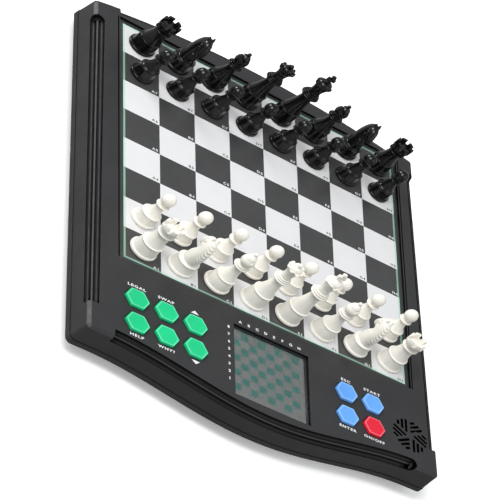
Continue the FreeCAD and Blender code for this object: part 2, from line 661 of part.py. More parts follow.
def knight():
    """Horse's head on the common base, facing +Y."""
    body = turned(base_steps(9.7, 7.0, 8.6) + [(5.0, 11.0), (0, 11.0)])
    profile = [(-6.4, 9.6), (-6.9, 14.0), (-5.6, 21.0), (-3.2, 27.4), (0.0, 31.6), (0.6, 35.0),
               (2.2, 31.8), (4.6, 29.6), (8.6, 25.2), (8.8, 22.6), (6.8, 21.4), (3.4, 22.0), (1.6, 20.6),
               (4.6, 16.0), (5.6, 9.6)]
    corners = [V(-3.6, y, z) for y, z in profile]
    head = Part.Face(Part.makePolygon(corners + [corners[0]])).extrude(V(7.2, 0, 0))
    return fuse(body, [head]), (9.7, 12.0)


def chessman(shape, size, x, y, turn):
    """Hollow moulding closed by a press-in plug, both in one node."""
    r, hollow_top = size
    plug_r = r - 2.0
    mouth = [(0, -1), (plug_r, -1), (plug_r, 1.8), (plug_r - 0.6, 1.8)]
    hollow = turned(mouth + [(2.0, hollow_top), (0, hollow_top)])
    plug = turned([(0, 0.2), (plug_r - 0.05, 0.2), (plug_r - 0.05, 1.8), (0, 1.8)])
    group = Part.makeCompound([shape.cut(hollow), plug])
    group.rotate(V(0, 0, 0), UP, turn)
    group.translate(V(x, y, BOARD_Z))
    return group


def chess_set():
    """Node name -> solids of all thirty-two chessmen at the start of a game."""
    makers = {"rook": rook, "knight": knight, "bishop": bishop, "queen": queen, "king": king, "pawn": pawn}
    shapes = {kind: make() for kind, make in makers.items()}
    back_rank = ["rook", "knight", "bishop", "queen", "king", "bishop", "knight", "rook"]
    men = {}
    for colour, home, pawns, turn in (("white", 0, 1, 0), ("black", 7, 6, 180)):
        for col, letter in enumerate("abcdefgh"):
            x = BOARD_X + (col - 3.5) * SQUARE
            for kind, row in ((back_rank[col], home), ("pawn", pawns)):
                shape, size = shapes[kind]
                y = BOARD_Y + (row - 3.5) * SQUARE
                men["%s_%s_%s" % (colour, kind, letter)] = chessman(shape, size, x, y, turn)
    return men


# ---------------------------------------------------------------- assembly
def build():
    parts = {
        "upper_case": upper_case(),
        "lower_case": lower_case(),
        "battery_door": battery_door(),
        "board_panel": board_panel(),
        "sensor_membrane": sensor_membrane(),
        "main_board": main_board(),
        "lcd_window": lcd_window(),
        "lcd_bezel": lcd_bezel(),
        "lcd_module": lcd_module(),
        "lcd_ribbon": lcd_ribbon(),
        "left_keypad": keypad(3, LEFT_KEYS_X),
        "right_keypad": keypad(2, RIGHT_KEYS_X),
        "speaker": speaker(),
        "batteries": batteries(),
        "battery_contacts": battery_contacts(),
        "internal_wires": internal_wires(),
        "case_screws": case_screws(),
        "rubber_feet": rubber_feet(),
    }
    for name, (x, y) in key_places().items():
        parts[name] = button(x, y)
    parts.update(chess_set())
    return parts


os.makedirs("parts", exist_ok=True)
for name, shape in build().items():
    shape.exportStep("parts/%s.step" % name)
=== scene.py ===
import math

import bmesh
import bpy
from mathutils import Matrix, Vector


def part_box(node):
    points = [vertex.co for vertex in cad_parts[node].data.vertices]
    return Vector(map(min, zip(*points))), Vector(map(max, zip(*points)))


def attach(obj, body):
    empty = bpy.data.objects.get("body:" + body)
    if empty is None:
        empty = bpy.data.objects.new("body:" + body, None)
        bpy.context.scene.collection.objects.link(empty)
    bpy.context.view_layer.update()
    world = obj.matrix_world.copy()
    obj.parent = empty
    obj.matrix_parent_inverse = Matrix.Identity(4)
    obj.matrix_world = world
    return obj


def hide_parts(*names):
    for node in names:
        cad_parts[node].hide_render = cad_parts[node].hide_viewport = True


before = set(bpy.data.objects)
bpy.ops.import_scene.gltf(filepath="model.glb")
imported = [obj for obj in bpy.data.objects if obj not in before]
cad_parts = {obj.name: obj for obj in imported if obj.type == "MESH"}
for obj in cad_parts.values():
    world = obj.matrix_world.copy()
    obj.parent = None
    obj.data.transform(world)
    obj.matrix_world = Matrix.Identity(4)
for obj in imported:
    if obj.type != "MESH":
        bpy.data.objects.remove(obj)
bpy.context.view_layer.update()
MM = 0.001


# ---------------------------------------------------------------- places taken from the CAD
def mid(node):
    lo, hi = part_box(node)
    return (lo + hi) / 2


PANEL_LO, PANEL_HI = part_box("board_panel")
SQUARE = 28.0 * MM
BOARD_Z = PANEL_HI.z
BOARD_X = (PANEL_LO.x + PANEL_HI.x) / 2
BOARD_Y = (PANEL_LO.y + PANEL_HI.y) / 2
FIELD = 8 * SQUARE
CASE_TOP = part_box("upper_case")[1].z
WINDOW_LO, WINDOW_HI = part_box("lcd_window")
GREEN_KEYS = ("legal", "swap", "up", "help", "why", "down")
BLUE_KEYS = ("escape", "start", "enter")
KEYS = GREEN_KEYS + BLUE_KEYS + ("power",)


# ---------------------------------------------------------------- materials
class Look:
    """A material's node tree, with short calls to add nodes."""

    def __init__(self, name):
        self.mat = bpy.data.materials.new(name)
        self.mat.use_nodes = True
        self.tree = self.mat.node_tree
        self.tree.nodes.clear()
        self.out = self.tree.nodes.new("ShaderNodeOutputMaterial")
        self.coords = self.add("TexCoord").outputs["Object"]

    def add(self, kind, inputs=None, **props):
        node = self.tree.nodes.new("ShaderNode" + kind)
        for key, value in props.items():
            setattr(node, key, value)
        for key, value in (inputs or {}).items():
            if isinstance(value, bpy.types.NodeSocket):
                self.tree.links.new(value, node.inputs[key])
            else:
                node.inputs[key].default_value = value
        return node

    def noise(self, size, detail=2.0, rough=0.5):
        """Noise whose features are about size metres across, 0 to 1."""
        settings = {"Vector": self.coords, "Scale": 1 / size, "Detail": detail, "Roughness": rough}
        return self.add("TexNoise", settings).outputs["Fac"]

    def remap(self, value, a, b, low=0.35, high=0.65):
        """Spreads low..high over a..b; the default span is where most noise values lie."""
        settings = {"Value": value, "From Min": low, "From Max": high, "To Min": a, "To Max": b}
        return self.add("MapRange", settings).outputs["Result"]

    def math(self, operation, *values):
        return self.add("Math", dict(enumerate(values)), operation=operation).outputs["Value"]

    def blend(self, fac, a, b, mode="MIX"):
        node = self.add("MixRGB", {"Fac": fac, "Color1": a, "Color2": b}, blend_type=mode)
        return node.outputs["Color"]

    def shaded(self, colour, shade):
        """The colour darkened by a grey value from 0 to 1."""
        grey = self.add("CombineColor", {0: shade, 1: shade, 2: shade}).outputs["Color"]
        return self.blend(1.0, colour, grey, "MULTIPLY")

    def bump(self, height, strength, distance, normal=None):
        inputs = {"Height": height, "Strength": strength, "Distance": distance}
        if normal is not None:
            inputs["Normal"] = normal
        return self.add("Bump", inputs).outputs["Normal"]

    def surface(self, shader):
        self.tree.links.new(shader, self.out.inputs["Surface"])
        return self.mat

    def principled(self, **inputs):
        names = {key.replace("_", " "): value for key, value in inputs.items()}
        return self.add("BsdfPrincipled", names).outputs["BSDF"]


def rgba(r, g, b):
    return (r, g, b, 1.0)


# Openness to the sky at the bottom of a narrow groove and on a flat face; the painted groove shade is spread
# between them.
GROOVE_TO_FLAT = (0.55, 0.92)


def moulded(name, colour, rough, tint=0.85, grain=0.35, depth=0.02, edge=0.0, painted_groove_shade=None, coat=0.0,
            mottle=0.03, spec=0.5):
    """Moulded plastic: fine spark grain, faint flow marks, uneven sheen and slightly rounded edges.
    grain, depth and edge are in millimetres; edge rounds what the light sees of sharp edges.
    mottle is the size of the slow colour change in metres.
    The painted groove shade argument, (reach in millimetres, share of colour left), darkens the colour and
    the sheen in the depths of narrow grooves as painted shade."""
    look = Look(name)
    darker = rgba(*(c * tint for c in colour))
    base = look.blend(look.remap(look.noise(mottle, 4.0), 0.0, 1.0), rgba(*colour), darker)
    fine = look.noise(grain * MM, 3.0, 0.6)
    rounded = None
    if edge:
        rounded = look.add("Bevel", {"Radius": edge * MM}, samples=4).outputs["Normal"]
    # Painted shade: ambient occlusion darkens the colour and weakens the specular in narrow grooves.
    if painted_groove_shade:
        reach, deepest = painted_groove_shade
        opening = look.add("AmbientOcclusion", {"Distance": reach * MM}, samples=8).outputs["AO"]
        base = look.shaded(base, look.remap(opening, deepest, 1.0, *GROOVE_TO_FLAT))
        spec = look.remap(opening, 0.1 * spec, spec, *GROOVE_TO_FLAT)
    normal = look.bump(fine, 0.35, depth * MM, rounded)
    gloss = look.remap(look.noise(mottle * 0.4, 3.0), rough[0], rough[1])
    return look.surface(look.principled(Base_Color=base, Roughness=gloss, Normal=normal, Coat_Weight=coat,
                                        Coat_Roughness=0.12, Specular_IOR_Level=spec))


def metal(name, colour):
    """Drawn or plated metal with fine streaks."""
    look = Look(name)
    scaled = look.add("Mapping", {"Vector": look.coords, "Scale": (1.0, 1.0, 14.0)}).outputs["Vector"]
    streaks = look.add("TexNoise", {"Vector": scaled, "Scale": 900.0, "Detail": 3.0}).outputs["Fac"]
    darker = rgba(*(c * 0.7 for c in colour))
    base = look.blend(look.remap(streaks, 0.0, 1.0), rgba(*colour), darker)
    gloss = look.remap(streaks, 0.22, 0.38)
    return look.surface(look.principled(Base_Color=base, Metallic=1.0, Roughness=gloss,
                                        Normal=look.bump(streaks, 0.2, 0.01 * MM)))


def rubber(name, colour):
    """Dull rubber with a speckled skin."""
    look = Look(name)
    speck = look.noise(0.5 * MM, 4.0, 0.7)
    darker = rgba(*(c * 0.6 + 0.01 for c in colour))
    base = look.blend(look.remap(look.noise(6 * MM), 0.0, 1.0), rgba(*colour), darker)
    return look.surface(look.principled(Base_Color=base, Roughness=look.remap(speck, 0.7, 0.9),
                                        Normal=look.bump(speck, 0.5, 0.04 * MM)))


def film(name, colour, dust=0.04):
    """Screen-printed film: even ink with faint dust and a soft satin coat."""
    look = Look(name)
    speck = look.noise(0.25 * MM, 2.0, 0.8)
    base = look.shaded(rgba(*colour), look.remap(look.noise(20 * MM, 2.0), 1.0 - dust, 1.0))
    gloss = look.remap(look.noise(9 * MM, 3.0), 0.3, 0.42)
    return look.surface(look.principled(Base_Color=base, Roughness=gloss, Specular_IOR_Level=0.4,
                                        Normal=look.bump(speck, 0.15, 0.008 * MM)))


def circuit(name):
    """Green solder mask with raised tracks between cells."""
    look = Look(name)
    cells = look.add("TexVoronoi", {"Vector": look.coords, "Scale": 420.0, "Randomness": 0.4},
                     feature="DISTANCE_TO_EDGE").outputs["Distance"]
    tracks = look.remap(cells, 1.0, 0.0, 0.05, 0.09)
    base = look.blend(tracks, rgba(0.02, 0.16, 0.06), rgba(0.05, 0.3, 0.12))
    gloss = look.remap(look.noise(2 * MM), 0.25, 0.4)
    return look.surface(look.principled(Base_Color=base, Roughness=gloss,
                                        Normal=look.bump(tracks, 0.4, 0.03 * MM)))


def cell_jacket(name):
    """Battery sleeve: scuffed dark blue with a gold-coloured end."""
    look = Look(name)
    split = look.add("SeparateXYZ", {"Vector": look.coords})
    along = look.math("GREATER_THAN", split.outputs["X"], 17 * MM)
    base = look.blend(along, rgba(0.02, 0.03, 0.06), rgba(0.62, 0.36, 0.1))
    scuff = look.noise(3 * MM, 4.0)
    gloss = look.remap(scuff, 0.25, 0.45)
    return look.surface(look.principled(Base_Color=base, Metallic=0.55, Roughness=gloss,
                                        Normal=look.bump(scuff, 0.1, 0.02 * MM)))


def clear_sheet(name):
    """Clear plastic with a faint haze in what it mirrors."""
    look = Look(name)
    haze = look.remap(look.noise(12 * MM, 3.0), 0.03, 0.09)
    gloss = look.add("BsdfGlossy", {"Color": rgba(0.9, 0.92, 0.92), "Roughness": haze}).outputs["BSDF"]
    through = look.add("BsdfTransparent", {"Color": rgba(0.93, 0.96, 0.95)}).outputs["BSDF"]
    fresnel = look.add("Fresnel", {"IOR": 1.45}).outputs["Fac"]
    return look.surface(look.add("MixShader", {0: fresnel, 1: through, 2: gloss}).outputs["Shader"])


def lcd_glass(name, centre, cell, rows_top):
    """Liquid-crystal glass: a soft checked field of green-blue squares on a pinkish grey ground."""
    look = Look(name)
    split = look.add("SeparateXYZ", {"Vector": look.coords})

    def wave(axis, origin):
        shifted = look.math("SUBTRACT", split.outputs[axis], origin)
        return look.math("SINE", look.math("MULTIPLY", shifted, math.pi / cell))

    half = 4 * cell

    def within(axis, middle):
        return look.math("COMPARE", split.outputs[axis], middle, half)

    check = look.math("MULTIPLY", wave("X", centre - half), wave("Y", rows_top - 2 * half))
    inside = look.math("MULTIPLY", within("X", centre), within("Y", rows_top - half))
    field = look.math("MULTIPLY", look.remap(check, 0.0, 1.0, -0.22, 0.45), inside)
    patches = look.remap(look.noise(5 * MM, 3.0), 0.0, 1.0)
    ground = look.blend(patches, rgba(0.31, 0.27, 0.275), rgba(0.26, 0.26, 0.26))
    ink = look.blend(patches, rgba(0.085, 0.25, 0.22), rgba(0.075, 0.21, 0.20))
    gloss = look.remap(look.noise(8 * MM), 0.22, 0.34)
    base = look.blend(field, ground, ink)
    return look.surface(look.principled(Base_Color=base, Roughness=gloss, Specular_IOR_Level=0.3))


# The screen's checked field stands a little left of the window's middle and starts at its top edge.
LCD_X = (WINDOW_LO.x + WINDOW_HI.x) / 2 - 1.0 * MM
LCD_CELL = 6.65 * MM
LCD_ROWS_TOP = WINDOW_HI.y - 0.1 * MM

BLACK = (0.026, 0.026, 0.0275)
KEY = {"rough": (0.30, 0.40), "grain": 0.3, "depth": 0.006, "spec": 0.22}
# Painted highlight: the keys' rims take a lighter, glossier copy of the key colour.
RIM_PAINTED_HIGHLIGHT = {"rough": (0.18, 0.26), "grain": 0.3, "depth": 0.006, "coat": 0.3}
looks = {
    # The case's grooves get painted shade from ambient occlusion.
    "case_black": moulded("case_plastic", BLACK, rough=(0.40, 0.5), grain=0.45, depth=0.03, edge=0.35,
                          painted_groove_shade=(7.0, 0.02), spec=0.35),
    "lower_black": moulded("lower_case_plastic", BLACK, rough=(0.42, 0.55), grain=0.5, depth=0.03, edge=0.3,
                           spec=0.35),
    "bezel_black": moulded("bezel_plastic", (0.02, 0.02, 0.021), rough=(0.25, 0.35), depth=0.01, edge=0.25),
    "panel_ink": film("panel_dark_print", (0.042, 0.044, 0.043), dust=0.1),
    "square_light": film("square_light_print", (0.67, 0.67, 0.675), dust=0.03),
    "square_dark": film("square_dark_print", (0.045, 0.045, 0.046), dust=0.1),
    "mint": film("mint_line_print", (0.235, 0.375, 0.30), dust=0.15),
    "pale_mint": film("pale_mint_line_print", (0.50, 0.66, 0.58), dust=0.08),
    "teal": film("teal_edge_print", (0.022, 0.055, 0.040), dust=0.15),
    # Painted shadow: matte black for the strips that stand in for the gap's shade beside the panel.
    "seam_black": moulded("seam_line_black", (0.002, 0.002, 0.002), rough=(0.8, 0.9), spec=0.0),
    "ink_white": film("white_ink", (0.74, 0.74, 0.75)),
    "ink_dark": film("dark_ink", (0.06, 0.06, 0.06)),
    "membrane_film": film("membrane_film_sheet", (0.52, 0.42, 0.22)),
    "circuit_board": circuit("circuit_board_mask"),
    "clear_window": clear_sheet("clear_window_sheet"),
    "lcd_glass": lcd_glass("lcd_glass_sandwich", LCD_X, LCD_CELL, LCD_ROWS_TOP),
    "silicone": rubber("keypad_silicone", (0.45, 0.45, 0.47)),
    "speaker_metal": moulded("speaker_paint", (0.02, 0.02, 0.02), rough=(0.3, 0.45)),
    "cell_jacket": cell_jacket("cell_sleeve"),
    "plated_contact": metal("contact_plate", (0.75, 0.74, 0.7)),
    "wire_sleeve": moulded("wire_sleeve_vinyl", (0.45, 0.02, 0.015), rough=(0.3, 0.4)),
    "screw_steel": metal("screw_zinc", (0.5, 0.5, 0.52)),
    "foot_rubber": rubber("foot_pad_rubber", (0.02, 0.02, 0.02)),
    "key_green": moulded("key_green_plastic", (0.008, 0.57, 0.23), **KEY),
    "key_blue": moulded("key_blue_plastic", (0.13, 0.38, 0.90), **KEY),
    "key_red": moulded("key_red_plastic", (0.74, 0.014, 0.040), **KEY),
    "key_green_rim": moulded("key_green_rim_sheen", (0.10, 0.72, 0.38), **RIM_PAINTED_HIGHLIGHT),
    "key_blue_rim": moulded("key_blue_rim_sheen", (0.26, 0.52, 0.96), **RIM_PAINTED_HIGHLIGHT),
    "key_red_rim": moulded("key_red_rim_sheen", (0.86, 0.12, 0.16), **RIM_PAINTED_HIGHLIGHT),
    "men_white": moulded("ivory_plastic", (0.87, 0.84, 0.765), tint=0.95, rough=(0.28, 0.4), grain=0.6,
                         depth=0.01, mottle=0.008, coat=0.1),
    "men_black": moulded("ebony_plastic", (0.004, 0.004, 0.004), tint=0.7, rough=(0.14, 0.22), grain=0.6,
                         depth=0.006, mottle=0.008, coat=0.35, spec=0.2),
}

CAD_LOOKS = {
    "upper_case": "case_black", "lower_case": "lower_black", "battery_door": "lower_black",
    "board_panel": "panel_ink", "sensor_membrane": "membrane_film", "main_board": "circuit_board",
    "lcd_window": "clear_window", "lcd_bezel": "bezel_black", "lcd_module": "lcd_glass",
    "lcd_ribbon": "membrane_film", "left_keypad": "silicone", "right_keypad": "silicone",
    "speaker": "speaker_metal", "batteries": "cell_jacket", "battery_contacts": "plated_contact",
    "internal_wires": "wire_sleeve", "case_screws": "screw_steel", "rubber_feet": "foot_rubber",
}


# ---------------------------------------------------------------- mesh helpers
WELD_REACH = 0.5e-6
SOFT_EDGE = math.radians(28)


def smooth_group():
    """Modifier tree that welds split corners and smooths every edge softer than a set angle."""
    group = bpy.data.node_groups.new("smooth_by_edge", "GeometryNodeTree")
    group.interface.new_socket("Geometry", in_out="INPUT", socket_type="NodeSocketGeometry")
    group.interface.new_socket("Geometry", in_out="OUTPUT", socket_type="NodeSocketGeometry")
    nodes, links = group.nodes, group.links
    start, finish = nodes.new("NodeGroupInput"), nodes.new("NodeGroupOutput")
    weld = nodes.new("GeometryNodeMergeByDistance")
    weld.inputs["Distance"].default_value = WELD_REACH
    angle = nodes.new("GeometryNodeInputMeshEdgeAngle")
    test = nodes.new("FunctionNodeCompare")
    test.operation = "LESS_THAN"
    test.inputs[1].default_value = SOFT_EDGE
    edges = nodes.new("GeometryNodeSetShadeSmooth")
    edges.domain = "EDGE"
    faces = nodes.new("GeometryNodeSetShadeSmooth")
    links.new(start.outputs[0], weld.inputs["Geometry"])
    links.new(angle.outputs["Unsigned Angle"], test.inputs[0])
    links.new(weld.outputs["Geometry"], faces.inputs["Geometry"])
    links.new(faces.outputs["Geometry"], edges.inputs["Geometry"])
    links.new(test.outputs["Result"], edges.inputs["Shade Smooth"])
    links.new(edges.outputs["Geometry"], finish.inputs[0])
    return group


SMOOTH = smooth_group()


def dress(obj, look):
    """One material on every face of a CAD node, and smooth shading over its curved faces."""
    obj.data.materials.clear()
    obj.data.materials.append(looks[look])
    obj.modifiers.new("smooth", "NODES").node_group = SMOOTH


def new_piece(name, bm, look_names, body, angle=35):
    """Turns a bmesh into a named piece that rides on a body."""
    mesh = bpy.data.meshes.new(name)
    bmesh.ops.recalc_face_normals(bm, faces=bm.faces)
    bm.to_mesh(mesh)
    bm.free()
    for look in look_names:
        mesh.materials.append(looks[look])
    mesh.shade_smooth()
    mesh.set_sharp_from_angle(angle=math.radians(angle))
    return place(name, mesh, body)


def place(name, mesh, body):
    """Links a mesh as a named piece on a body."""
    obj = bpy.data.objects.new(name, mesh)
    bpy.context.scene.collection.objects.link(obj)
    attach(obj, body)
    return obj


def slab(bm, x0, x1, y0, y1, z0, z1, material=0):
    """Thin rectangular plate."""
    corners = [(x, y) for x, y in ((x0, y0), (x1, y0), (x1, y1), (x0, y1))]
    rings = [[bm.verts.new((x, y, z)) for x, y in corners] for z in (z0, z1)]
    faces = [bm.faces.new(reversed(rings[0])), bm.faces.new(rings[1])]
    for i in range(4):
        j = (i + 1) % 4
        faces.append(bm.faces.new((rings[0][i], rings[0][j], rings[1][j], rings[1][i])))
    for face in faces:
        face.material_index = material


def stack(bm, rings):
    """Closed skin over a list of rings with equal point counts; a single point closes an end."""
    made = [[bm.verts.new(p) for p in ring] for ring in rings]
    for low, high in zip(made, made[1:]):
        count = max(len(low), len(high))
        for i in range(count):
            j = (i + 1) % count
            corners = [low[i % len(low)], low[j % len(low)], high[j % len(high)], high[i % len(high)]]
            unique = []
            for v in corners:
                if v not in unique:
                    unique.append(v)
            bm.faces.new(unique)


def arc(start, via, end, steps):
    """Points along the circle through three (r, z) points, without the first."""
    (x1, y1), (x2, y2), (x3, y3) = start, via, end
    d = 2 * (x1 * (y2 - y3) + x2 * (y3 - y1) + x3 * (y1 - y2))
    if abs(d) < 1e-9:
        return [via, end]
    s1, s2, s3 = x1 * x1 + y1 * y1, x2 * x2 + y2 * y2, x3 * x3 + y3 * y3
    cx = (s1 * (y2 - y3) + s2 * (y3 - y1) + s3 * (y1 - y2)) / d
    cy = (s1 * (x3 - x2) + s2 * (x1 - x3) + s3 * (x2 - x1)) / d
    r = math.hypot(x1 - cx, y1 - cy)
    a1, a2, a3 = (math.atan2(y - cy, x - cx) for x, y in (start, via, end))
    turn = (a3 - a1) % (2 * math.pi)
    if (a2 - a1) % (2 * math.pi) > turn:
        turn -= 2 * math.pi
    angles = [a1 + turn * i / steps for i in range(1, steps + 1)]
    return [(cx + r * math.cos(a), cy + r * math.sin(a)) for a in angles]


def profile(steps, smoothness):
    """(r, z) outline from steps: (r, z) is a straight line, (rm, zm, r, z) an arc."""
    points = [steps[0]]
    for step in steps[1:]:
        if len(step) == 2:
            points.append(step)
        else:
            points += arc(points[-1], step[:2], step[2:], smoothness)
    return points


def turned(bm, points, segments=56):
    """Lathe solid, in millimetres, from an outline that starts and ends on the axis."""
    angles = [2 * math.pi * i / segments for i in range(segments)]
    circle = [(math.cos(a), math.sin(a)) for a in angles]
    rings = []
    for r, z in points:
        if r < 1e-6:
            rings.append([(0, 0, z * MM)])
        else:
            rings.append([(r * MM * x, r * MM * y, z * MM) for x, y in circle])
    stack(bm, rings)


# ---------------------------------------------------------------- lettering
CAPITAL_SHARE = 0.72   # height of a capital as a share of the font's size
LETTER = 2.2 * MM
LETTER_INK = 0.03 * MM   # half the thickness of a letter


def glyphs(bm, text, x, y, z, material, align, stretch, spacing, bold):
    """Adds flat raised capitals of height LETTER to a bmesh, with the baseline at y."""
    curve = bpy.data.curves.new("text", "FONT")
    curve.body = text
    curve.align_x = align
    curve.size = LETTER / CAPITAL_SHARE
    curve.space_character = spacing
    curve.offset = bold
    curve.extrude = LETTER_INK
    curve.resolution_u = 3
    holder = bpy.data.objects.new("text", curve)
    mesh = bpy.data.meshes.new_from_object(holder)
    mesh.transform(Matrix.Translation((x, y, z + LETTER_INK)) @ Matrix.Diagonal((stretch, 1, 1, 1)))
    first = len(bm.faces)
    bm.from_mesh(mesh)
    bm.faces.ensure_lookup_table()
    for face in bm.faces[first:]:
        face.material_index = material
    bpy.data.objects.remove(holder)
    bpy.data.curves.remove(curve)
    bpy.data.meshes.remove(mesh)


# ---------------------------------------------------------------- playing board
INK = 0.04 * MM
MINT_WIDTH = 1.5 * MM
TEAL_WIDTH = 1.1 * MM
GAP_SHADOW_WIDTH = 0.9 * MM
NAME_INSET = (1.3 * MM, 1.5 * MM)
FIELD_X = BOARD_X - FIELD / 2
FIELD_Y = BOARD_Y - FIELD / 2
PRINTS = ["square_light", "square_dark", "pale_mint", "mint", "teal"]
LIGHT, DARK, PALE_MINT, MINT, TEAL = range(5)


def is_light(col, row):
    return (col + row) % 2 == 1


def squares(bm, top):
    for col in range(8):
        for row in range(8):
            x, y = FIELD_X + col * SQUARE, FIELD_Y + row * SQUARE
            slab(bm, x, x + SQUARE, y, y + SQUARE, BOARD_Z, top, LIGHT if is_light(col, row) else DARK)


def mint_line(bm, top):
    """Line just inside the field's edge, paler where it crosses a light square."""
    high = top + INK / 2
    x1, y1 = FIELD_X + FIELD, FIELD_Y + FIELD
    for i in range(8):
        near, far = FIELD_X + i * SQUARE, FIELD_X + (i + 1) * SQUARE
        slab(bm, near, far, FIELD_Y, FIELD_Y + MINT_WIDTH, top, high, PALE_MINT if is_light(i, 0) else MINT)
        slab(bm, near, far, y1 - MINT_WIDTH, y1, top, high, PALE_MINT if is_light(i, 7) else MINT)
        near = max(FIELD_Y + i * SQUARE, FIELD_Y + MINT_WIDTH)
        far = min(FIELD_Y + (i + 1) * SQUARE, y1 - MINT_WIDTH)
        slab(bm, FIELD_X, FIELD_X + MINT_WIDTH, near, far, top, high, PALE_MINT if is_light(0, i) else MINT)
        slab(bm, x1 - MINT_WIDTH, x1, near, far, top, high, PALE_MINT if is_light(7, i) else MINT)


def teal_line(bm, top):
    """Dark green line just outside the field's edge."""
    x1, y1 = FIELD_X + FIELD, FIELD_Y + FIELD
    left, right = FIELD_X - TEAL_WIDTH, x1 + TEAL_WIDTH
    slab(bm, left, right, FIELD_Y - TEAL_WIDTH, FIELD_Y, BOARD_Z, top, TEAL)
    slab(bm, left, right, y1, y1 + TEAL_WIDTH, BOARD_Z, top, TEAL)
    slab(bm, left, FIELD_X, FIELD_Y, y1, BOARD_Z, top, TEAL)
    slab(bm, x1, right, FIELD_Y, y1, BOARD_Z, top, TEAL)


def playing_board():
    """Printed field with its lines, black strips on the case beside its left and right edges as painted
    shadow of the gap round the panel, and a small name in each square's corner.
    """
    top = BOARD_Z + INK
    bm = bmesh.new()
    squares(bm, top)
    mint_line(bm, top)
    teal_line(bm, top)
    new_piece("board_print", bm, PRINTS, "case")

    # Painted shadow: black strips on the case top beside the panel's left and right edges stand in for the
    # shade in the gap between panel and case.
    bm = bmesh.new()
    for left in (PANEL_LO.x - 2 * GAP_SHADOW_WIDTH, PANEL_HI.x + GAP_SHADOW_WIDTH):
        slab(bm, left, left + GAP_SHADOW_WIDTH, PANEL_LO.y, PANEL_HI.y, CASE_TOP, CASE_TOP + INK / 2)
    new_piece("side_seam_lines", bm, ["seam_black"], "case")

    bm = bmesh.new()
    for col in range(8):
        for row in range(8):
            right = FIELD_X + (col + 1) * SQUARE - NAME_INSET[0]
            baseline = FIELD_Y + row * SQUARE + NAME_INSET[1]
            ink = 1 if is_light(col, row) else 0
            name = "ABCDEFGH"[col] + str(row + 1)
            glyphs(bm, name, right, baseline, top, ink, "RIGHT", 1.15, 1.25, 0.06 * MM)
    new_piece("board_names", bm, ["ink_white", "ink_dark"], "case")


# ---------------------------------------------------------------- control panel
PER_SIDE = 10


def hex_ring(r, corner, z, centre, roundness=0.0):
    """Ring of points round a hexagon with rounded corners; roundness 1 gives a circle."""
    points = []
    inner = r - corner * (2 / math.sqrt(3) - 1)
    apothem = r * math.sqrt(3) / 2
    for side in range(6):
        for k in range(PER_SIDE):
            angle = math.radians(60 * side + 60 * k / PER_SIDE)
            local = math.radians((60 * k / PER_SIDE) - 30)
            flat = apothem / math.cos(local)
            eased = min(flat, inner)
            radius = eased * (1 - roundness) + r * roundness
            points.append((centre.x + radius * math.cos(angle), centre.y + radius * math.sin(angle), z))
    return points


KEY_R = 9.0
STEM_R = 3.0
FLANGE = (3.3, 4.5)    # underside and top of the retaining flange, above the foot of the stem
FLANGE_EASE = (0.1, 0.2, 0.1)    # its edge: step in, step up at the bottom, step down at the top
SUNK = 0.2
CORNER = 0.55
# Rim from the upright side to the sunk top, as (inset, drop below the highest ring).
RIM_RINGS = ((0.0, 0.85), (0.1, 0.6), (0.5, 0.12), (0.75, 0.0), (1.0, 0.03), (1.5, 0.15), (2.0, SUNK),
             (5.0, SUNK))


def key_cap(key):
    """Hexagonal push button: stem, retaining flange, upright sides, and a rim round a slightly sunk top; the
    rim faces get a lighter colour as a painted highlight.
    """
    node = key + "_button"
    lo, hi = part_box(node)
    centre = mid(node)
    flange = (hi.x - lo.x) / 2 / MM
    bottom, top = FLANGE
    ease, rise, fall = FLANGE_EASE
    rings = [[(centre.x, centre.y, lo.z)]]
    for radius, z, roundness in ((STEM_R, 0.0, 1.0), (STEM_R, bottom, 1.0), (flange - ease, bottom, 0.0),
                                 (flange, bottom + rise, 0.0), (flange, top - fall, 0.0),
                                 (flange - ease, top, 0.0), (KEY_R, top, 0.0)):
        rings.append(hex_ring(radius * MM, 0.5 * MM, lo.z + z * MM, centre, roundness))
    for inset, drop in RIM_RINGS:
        rings.append(hex_ring((KEY_R - inset) * MM, CORNER * MM, hi.z - drop * MM, centre))
    rings.append([(centre.x, centre.y, hi.z - SUNK * MM)])
    bm = bmesh.new()
    stack(bm, rings)
    for face in bm.faces:
        at = face.calc_center_median()
        out = math.hypot(at.x - centre.x, at.y - centre.y)
        # Rim faces take the lighter rim material, a painted highlight along the edge.
        if at.z > hi.z - 0.8 * SUNK * MM and out > 0.8 * (KEY_R - 0.85) * MM:
            face.material_index = 1
    look = "key_green" if key in GREEN_KEYS else "key_blue" if key in BLUE_KEYS else "key_red"
    piece = new_piece(key + "_key_cap", bm, [look, look + "_rim"], node, 40)
    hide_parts(node)


ARROW_HALF = 3.1 * MM
ARROW_LENGTH = 3.0 * MM
ARROW_AWAY = 10.3 * MM
ARROW_INK = 0.05 * MM


def arrow(bm, centre, side, z):
    """Printed triangle beyond a key, pointing away from it along Y."""
    base = centre.y + side * ARROW_AWAY
    corners = ((-ARROW_HALF, base), (ARROW_HALF, base), (0.0, base + side * ARROW_LENGTH))
    low, high = [[bm.verts.new((centre.x + x, y, h)) for x, y in corners] for h in (z, z + ARROW_INK)]
    bm.faces.new(reversed(low))
    bm.faces.new(high)
    for i in range(3):
        j = (i + 1) % 3
        bm.faces.new((low[i], low[j], high[j], high[i]))


